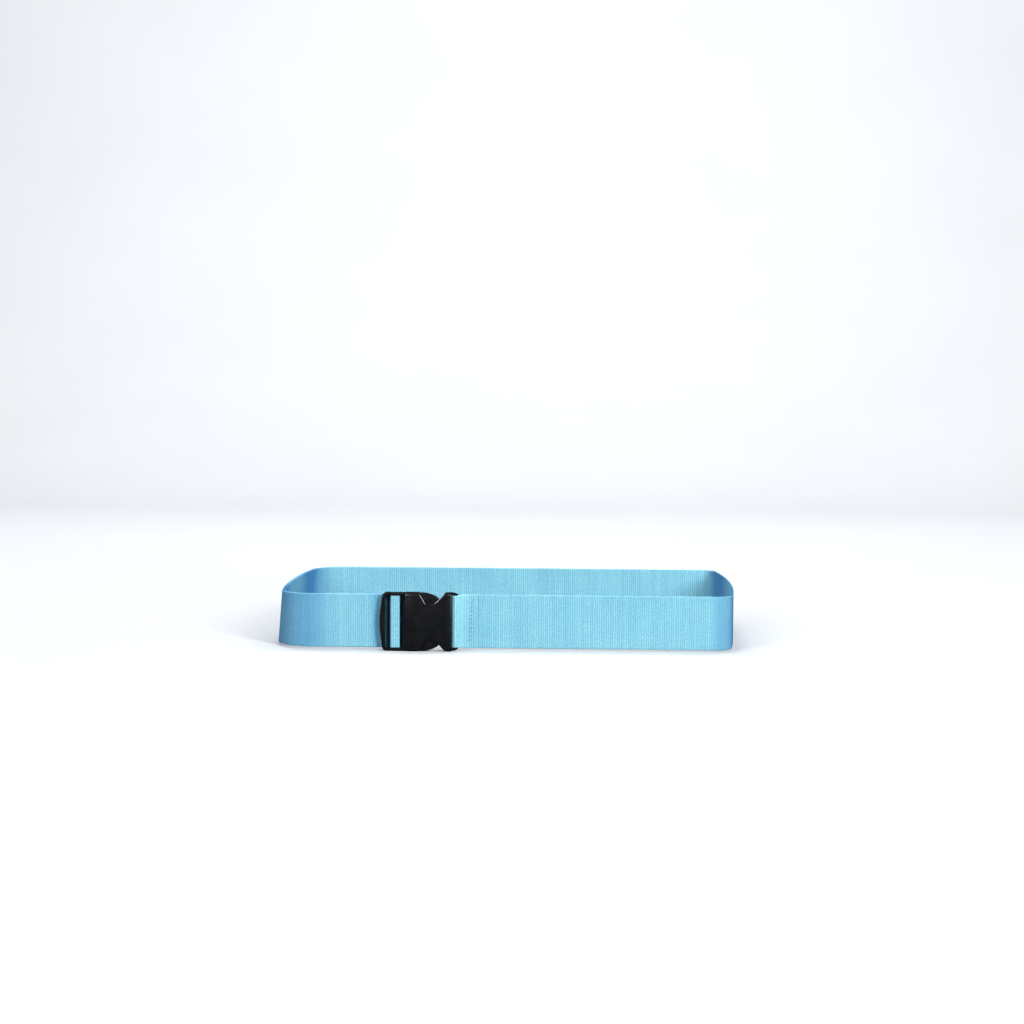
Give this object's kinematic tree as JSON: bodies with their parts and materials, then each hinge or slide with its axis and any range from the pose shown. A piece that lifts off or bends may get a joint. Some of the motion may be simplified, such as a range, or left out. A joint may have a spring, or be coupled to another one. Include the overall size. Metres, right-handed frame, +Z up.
{
  "type": "luggage strap",
  "caption": "Wide webbing strap closed in a loop round a suitcase by a side-release buckle, with a sliding adjuster and a free tail.",
  "frame": {"origin": "middle of the loop, half-way up the webbing, where the middle of the suitcase would be", "axes": "+X to the right along the front of the case, +Y from the front to the back of the case, +Z up across the webbing's width"},
  "size_m": [0.4375, 0.2786, 0.0546],
  "materials": {
    "webbing": "woven polypropylene webbing, soft sheen",
    "buckle": "moulded black acetal, satin",
    "thread": "bonded polyester sewing thread"
  },
  "bodies": {
    "strap": {"webbing_front_left": "webbing", "webbing_left_side": "webbing", "webbing_back": "webbing", "webbing_right_side": "webbing", "webbing_front_right": "webbing", "webbing_slack": "webbing", "webbing_bar_wrap": "webbing", "webbing_tail_front": "webbing", "webbing_tail_side": "webbing", "webbing_tail_back": "webbing", "plug_frame": "buckle", "tail_hem_stitch": "thread"},
    "socket": {"socket_shell": "buckle", "webbing_socket_fold": "webbing", "socket_box_stitch": "thread", "socket_bar_tack": "thread"},
    "prong_upper": {"plug_prong_upper": "buckle"},
    "prong_lower": {"plug_prong_lower": "buckle"}
  },
  "joints": [
    {"name": "socket_release", "type": "slide", "parent": "strap", "child": "socket", "axis": [1, 0, 0], "range_m": [0, 0.038], "deforming": ["webbing_slack", "plug_prong_upper", "plug_prong_lower"]},
    {"name": "prong_upper_squeeze", "type": "hinge", "parent": "strap", "child": "prong_upper", "pos_m": [-0.0928, -0.137, 0.0201], "axis": [0, 1, 0], "range_deg": [0, 12], "stiffness_Nm_per_rad": 0.3},
    {"name": "prong_lower_squeeze", "type": "hinge", "parent": "strap", "child": "prong_lower", "pos_m": [-0.0928, -0.137, -0.0201], "axis": [0, -1, 0], "range_deg": [0, 12], "stiffness_Nm_per_rad": 0.3}
  ]
}
